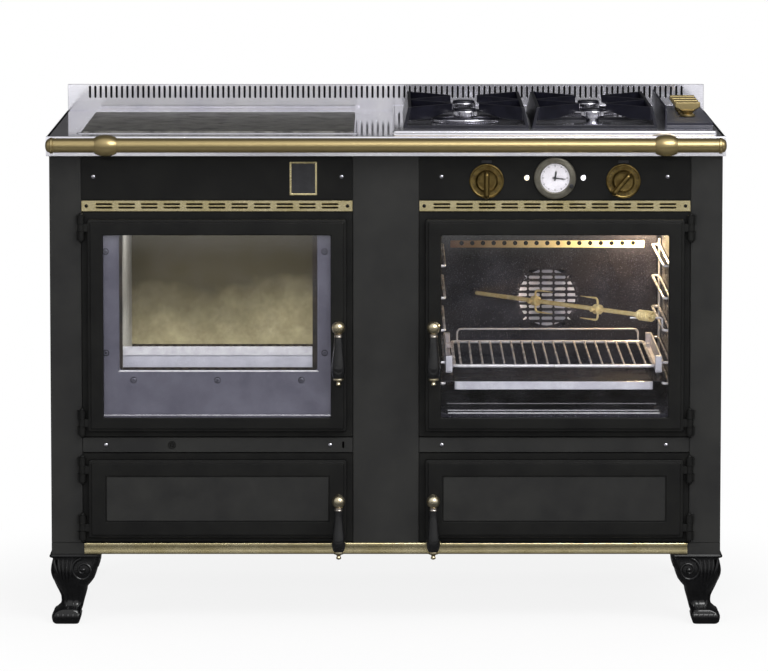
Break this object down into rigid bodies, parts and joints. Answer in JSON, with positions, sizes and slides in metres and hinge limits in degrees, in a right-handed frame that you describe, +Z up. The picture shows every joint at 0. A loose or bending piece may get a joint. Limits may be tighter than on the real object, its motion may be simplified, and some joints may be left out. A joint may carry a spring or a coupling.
{
  "type": "range cooker",
  "caption": "Black enamelled cast iron range cooker with a wood fire, an electric oven, a hotplate, a gas hob, brass rail and brass trim on cabriole legs",
  "frame": {"origin": "on the floor, under the middle of the overall box", "axes": "+X to the right as seen from the front, +Y to the back, +Z up"},
  "size_m": [1.21, 0.7439, 0.93],
  "materials": {
    "enamel_black": "satin black stove enamel on cast iron and steel",
    "cast_black": "gloss black enamelled casting",
    "aged_brass": "aged brass, satin",
    "pale_brass": "pale satin brass sheet",
    "bronze": "dark bronze with a pale dial",
    "stainless": "polished stainless sheet",
    "screw_chrome": "bright plated steel",
    "hotplate_iron": "ground cast iron, swirled",
    "matt_enamel": "matt black enamelled casting",
    "raw_iron": "raw casting",
    "grey_steel": "grey heat-proof paint on steel",
    "oven_enamel": "blue-black vitreous enamel",
    "refractory": "sand-coloured refractory board",
    "door_glass": "clear ceramic glass"
  },
  "bodies": {
    "cabinet": {"legs": "cast_black", "base_frame": "enamel_black", "base_trim": "pale_brass", "front_columns": "enamel_black", "outer_panels": "enamel_black", "surrounds": "enamel_black", "mid_strips": "enamel_black", "vent_strips": "pale_brass", "fascias": "enamel_black", "fascia_fittings": "aged_brass", "panel_screws": "screw_chrome", "hinges": "cast_black", "worktop": "stainless", "backsplash": "stainless", "hotplate": "hotplate_iron", "gas_tray": "stainless", "burner_bodies": "screw_chrome", "burner_caps": "matt_enamel", "control_strip": "matt_enamel", "gas_rail": "pale_brass", "rail_tube": "aged_brass", "rail_brackets": "aged_brass", "clock": "bronze", "oven_liner": "oven_enamel", "fan_cover": "oven_enamel", "side_racks": "screw_chrome", "oven_shelf": "screw_chrome", "drip_tray": "screw_chrome", "fan_motor": "stainless", "firebox_shell": "raw_iron", "fire_lining": "refractory", "fire_grate": "raw_iron", "flue_outlet": "raw_iron", "lower_liners": "enamel_black"},
    "fire_door_leaf": {"fire_door": "enamel_black", "fire_door_frame": "grey_steel", "fire_door_glass": "door_glass"},
    "oven_door_leaf": {"oven_door": "enamel_black", "oven_door_glass": "door_glass"},
    "wood_door_leaf": {"wood_door": "enamel_black"},
    "store_door_leaf": {"store_door": "enamel_black"},
    "fire_door_handle": {"handle_fire_door": "aged_brass"},
    "oven_door_handle": {"handle_oven_door": "aged_brass"},
    "wood_door_handle": {"handle_wood_door": "aged_brass"},
    "store_door_handle": {"handle_store_door": "aged_brass"},
    "air_disc": {"air_control": "cast_black"},
    "mode_knob": {"oven_knob_left": "aged_brass"},
    "heat_knob": {"oven_knob_right": "aged_brass"},
    "gas_tap_1": {"gas_knob_1": "aged_brass"},
    "gas_tap_2": {"gas_knob_2": "aged_brass"},
    "gas_tap_3": {"gas_knob_3": "aged_brass"},
    "gas_tap_4": {"gas_knob_4": "aged_brass"},
    "hour_hand": {"clock_hour_hand": "bronze"},
    "minute_hand": {"clock_minute_hand": "bronze"},
    "clock_knob": {"clock_setter": "cast_black"},
    "rotisserie": {"spit": "screw_chrome"},
    "oven_fan": {"fan_wheel": "stainless"},
    "plug": {"hotplate_plug": "hotplate_iron"},
    "left_pan_support": {"pan_support_left": "matt_enamel"},
    "right_pan_support": {"pan_support_right": "matt_enamel"}
  },
  "joints": [
    {"name": "fire_door_hinge", "type": "hinge", "parent": "cabinet", "child": "fire_door_leaf", "pos_m": [-0.5435, -0.308, 0.54175], "axis": [0, 0, -1], "range_deg": [0, 110]},
    {"name": "oven_door_hinge", "type": "hinge", "parent": "cabinet", "child": "oven_door_leaf", "pos_m": [0.5435, -0.308, 0.54175], "axis": [0, 0, 1], "range_deg": [0, 110]},
    {"name": "wood_door_hinge", "type": "hinge", "parent": "cabinet", "child": "wood_door_leaf", "pos_m": [-0.5435, -0.308, 0.22975], "axis": [0, 0, -1], "range_deg": [0, 110]},
    {"name": "store_door_hinge", "type": "hinge", "parent": "cabinet", "child": "store_door_leaf", "pos_m": [0.5435, -0.308, 0.22975], "axis": [0, 0, 1], "range_deg": [0, 110]},
    {"name": "fire_door_latch", "type": "hinge", "parent": "fire_door_leaf", "child": "fire_door_handle", "pos_m": [-0.0845, -0.308, 0.54175], "axis": [0, 1, 0], "range_deg": [0, 90]},
    {"name": "oven_door_latch", "type": "hinge", "parent": "oven_door_leaf", "child": "oven_door_handle", "pos_m": [0.0845, -0.308, 0.54175], "axis": [0, -1, 0], "range_deg": [0, 90]},
    {"name": "wood_door_latch", "type": "hinge", "parent": "wood_door_leaf", "child": "wood_door_handle", "pos_m": [-0.0845, -0.308, 0.22975], "axis": [0, 1, 0], "range_deg": [0, 90]},
    {"name": "store_door_latch", "type": "hinge", "parent": "store_door_leaf", "child": "store_door_handle", "pos_m": [0.0845, -0.308, 0.22975], "axis": [0, -1, 0], "range_deg": [0, 90]},
    {"name": "air_disc_turn", "type": "hinge", "parent": "cabinet", "child": "air_disc", "pos_m": [-0.38325, -0.296, 0.325], "axis": [0, 1, 0], "range_deg": [0, 90]},
    {"name": "mode_knob_turn", "type": "hinge", "parent": "cabinet", "child": "mode_knob", "pos_m": [0.17945, -0.296, 0.7995], "axis": [0, 1, 0], "range_deg": [0, 270]},
    {"name": "heat_knob_turn", "type": "hinge", "parent": "cabinet", "child": "heat_knob", "pos_m": [0.42305, -0.296, 0.7995], "axis": [0, 1, 0], "range_deg": [-40, 230]},
    {"name": "gas_tap_1_turn", "type": "hinge", "parent": "cabinet", "child": "gas_tap_1", "pos_m": [0.547, -0.104, 0.9], "axis": [0, 0, -1], "range_deg": [0, 210]},
    {"name": "gas_tap_2_turn", "type": "hinge", "parent": "cabinet", "child": "gas_tap_2", "pos_m": [0.547, -0.044, 0.9], "axis": [0, 0, -1], "range_deg": [0, 210]},
    {"name": "gas_tap_3_turn", "type": "hinge", "parent": "cabinet", "child": "gas_tap_3", "pos_m": [0.547, 0.016, 0.9], "axis": [0, 0, -1], "range_deg": [0, 210]},
    {"name": "gas_tap_4_turn", "type": "hinge", "parent": "cabinet", "child": "gas_tap_4", "pos_m": [0.547, 0.076, 0.9], "axis": [0, 0, -1], "range_deg": [0, 210]},
    {"name": "clock_knob_turn", "type": "hinge", "parent": "cabinet", "child": "clock_knob", "pos_m": [0.33025, -0.306, 0.791], "axis": [0, 1, 0], "continuous": true},
    {"name": "minute_hand_turn", "type": "hinge", "parent": "cabinet", "child": "minute_hand", "pos_m": [0.30125, -0.303, 0.805], "axis": [0, 1, 0], "continuous": true},
    {"name": "hour_hand_turn", "type": "hinge", "parent": "cabinet", "child": "hour_hand", "pos_m": [0.30125, -0.301, 0.805], "axis": [0, 1, 0], "continuous": true},
    {"name": "spit_turn", "type": "hinge", "parent": "cabinet", "child": "rotisserie", "pos_m": [0.47925, -0.272, 0.5535], "axis": [-0.6055, 0.7959, 0], "continuous": true},
    {"name": "fan_turn", "type": "hinge", "parent": "cabinet", "child": "oven_fan", "pos_m": [0.30125, 0.162, 0.5435], "axis": [0, 1, 0], "continuous": true},
    {"name": "plug_lift", "type": "slide", "parent": "cabinet", "child": "plug", "axis": [0, 0, 1], "range_m": [0, 0.08]},
    {"name": "left_support_lift", "type": "slide", "parent": "cabinet", "child": "left_pan_support", "axis": [0, 0, 1], "range_m": [0, 0.08]},
    {"name": "right_support_lift", "type": "slide", "parent": "cabinet", "child": "right_pan_support", "axis": [0, 0, 1], "range_m": [0, 0.08]}
  ],
  "couplings": [
    {"joint": "minute_hand_turn", "follows": "clock_knob_turn", "ratio": -1},
    {"joint": "hour_hand_turn", "follows": "clock_knob_turn", "ratio": -0.083333}
  ]
}
